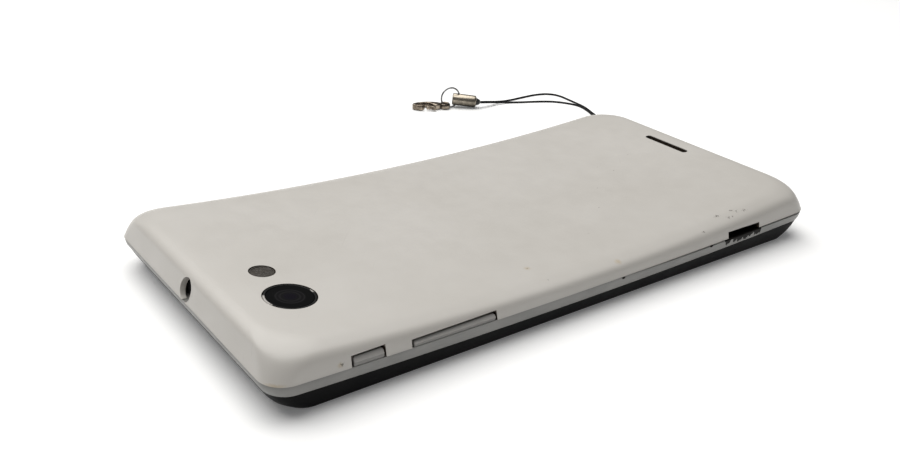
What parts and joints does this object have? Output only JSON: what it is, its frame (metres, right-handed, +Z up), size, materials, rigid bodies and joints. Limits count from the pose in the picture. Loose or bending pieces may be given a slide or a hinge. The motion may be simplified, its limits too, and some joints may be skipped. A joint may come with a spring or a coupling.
{
  "type": "smartphone",
  "caption": "Bar smartphone lying face down: concave removable back cover over battery, cards and boards, side keys, rear camera, and a corner strap with a clasp.",
  "frame": {"origin": "under the middle of the phone, on the surface that its front glass rests on", "axes": "+Y along the phone towards the rear camera and headphone jack, +Z up from the front glass to the back cover, X across the width with the side keys at -X and the strap corner at +X -Y"},
  "size_m": [0.109, 0.1418, 0.0108],
  "materials": {
    "white_shell": "satin warm off-white moulded plastic, lightly worn",
    "grey_plastic": "grey moulded plastic, satin",
    "black_plastic": "black moulded plastic, semi-gloss",
    "key_plastic": "silver-grey painted plastic",
    "black_glass": "black-backed gloss glass",
    "display_glass": "dark display panel",
    "clear_plastic": "smoked clear plastic",
    "dark_plastic": "dark moulded plastic",
    "inner_plastic": "dark grey inner plastic, fine texture",
    "lens_plastic": "black lens barrel",
    "card_plastic": "plain white card plastic",
    "circuit_board": "green solder mask",
    "amber_flex": "amber flexible circuit",
    "battery_can": "printed dark wrap over an aluminium can",
    "bright_steel": "pressed bright steel",
    "dark_steel": "dark zinc plated steel",
    "worn_ring": "black anodised metal, bright where the edge is worn",
    "gold_contact": "gold plated contact metal",
    "brown_mesh": "dark brown woven speaker mesh",
    "black_cord": "black waxed braided cord",
    "champagne_metal": "nickel plated brass, slightly worn",
    "wire_steel": "thin steel wire"
  },
  "bodies": {
    "phone": {"front_glass": "black_glass", "front_bezel": "black_plastic", "display_module": "display_glass", "receiver": "dark_steel", "front_camera": "dark_plastic", "proximity_sensor": "dark_plastic", "notification_light": "clear_plastic", "chassis_plate": "bright_steel", "mid_frame": "grey_plastic", "main_board": "circuit_board", "sub_board": "circuit_board", "board_link_flex": "amber_flex", "shield_can_lower": "bright_steel", "shield_can_upper": "bright_steel", "sim_socket": "bright_steel", "memory_socket": "bright_steel", "battery_connector": "gold_contact", "headphone_jack": "dark_plastic", "usb_socket": "bright_steel", "camera_body": "dark_plastic", "camera_ring": "worn_ring", "camera_window": "black_glass", "flash_window": "clear_plastic", "flash_led": "gold_contact", "loudspeaker": "dark_plastic", "vibration_motor": "bright_steel", "microphone": "gold_contact", "antenna": "amber_flex", "upper_inner_cover": "inner_plastic", "lower_inner_cover": "inner_plastic", "cover_screw_1": "dark_steel", "cover_screw_2": "dark_steel", "cover_screw_3": "dark_steel", "cover_screw_4": "dark_steel", "board_screw_1": "dark_steel", "board_screw_2": "dark_steel", "power_switch": "bright_steel", "volume_down_switch": "bright_steel", "volume_up_switch": "bright_steel", "key_flex": "amber_flex", "strap_strand_a": "black_cord", "strap_strand_b": "black_cord", "strap_hitch": "black_cord", "strap_ferrule": "champagne_metal", "strap_ring": "wire_steel"},
    "back_cover": {"back_cover": "white_shell", "speaker_mesh": "brown_mesh"},
    "battery": {"battery": "battery_can"},
    "power_key": {"power_key": "key_plastic"},
    "volume_key": {"volume_key": "key_plastic"},
    "sim_card": {"sim_card": "card_plastic"},
    "memory_card": {"memory_card": "dark_plastic"},
    "camera_lens": {"camera_lens": "lens_plastic"},
    "vibration_weight": {"vibration_weight": "dark_steel"},
    "clasp": {"clasp_body": "champagne_metal"},
    "clasp_lever": {"clasp_lever": "champagne_metal"}
  },
  "joints": [
    {"name": "power_key_press", "type": "slide", "parent": "phone", "child": "power_key", "axis": [1, 0, 0], "range_m": [0, 0.00035], "stiffness_N_per_m": 150},
    {"name": "volume_key_rock", "type": "hinge", "parent": "phone", "child": "volume_key", "pos_m": [-0.0288, 0.02945, 0.006], "axis": [0, 0, 1], "range_deg": [-2, 2], "stiffness_Nm_per_rad": 0.01},
    {"name": "back_cover_lift", "type": "slide", "parent": "phone", "child": "back_cover", "axis": [0, 0, 1], "range_m": [0, 0.03]},
    {"name": "battery_lift", "type": "slide", "parent": "phone", "child": "battery", "axis": [0, 0, 1], "range_m": [0, 0.0135]},
    {"name": "sim_card_slide", "type": "slide", "parent": "phone", "child": "sim_card", "axis": [0, -1, 0], "range_m": [0, 0.0115]},
    {"name": "memory_card_slide", "type": "slide", "parent": "phone", "child": "memory_card", "axis": [0, -1, 0], "range_m": [0, 0.0135]},
    {"name": "lens_focus", "type": "slide", "parent": "phone", "child": "camera_lens", "axis": [0, 0, 1], "range_m": [0, 0.0003], "stiffness_N_per_m": 30},
    {"name": "vibration_weight_spin", "type": "hinge", "parent": "phone", "child": "vibration_weight", "pos_m": [-0.012, -0.0528, 0.00525], "axis": [1, 0, 0], "continuous": true},
    {"name": "clasp_swing", "type": "hinge", "parent": "phone", "child": "clasp", "pos_m": [0.07361, -0.04561, 0.003], "axis": [0.9848, -0.1736, 0], "range_deg": [0, 50]},
    {"name": "clasp_lever_open", "type": "hinge", "parent": "clasp", "child": "clasp_lever", "pos_m": [0.07366, -0.04027, 0.00083], "axis": [0, 0, -1], "range_deg": [0, 22], "stiffness_Nm_per_rad": 0.0005}
  ],
  "couplings": [
    {"joint": "battery_lift", "follows": "back_cover_lift", "ratio": 0.45}
  ]
}
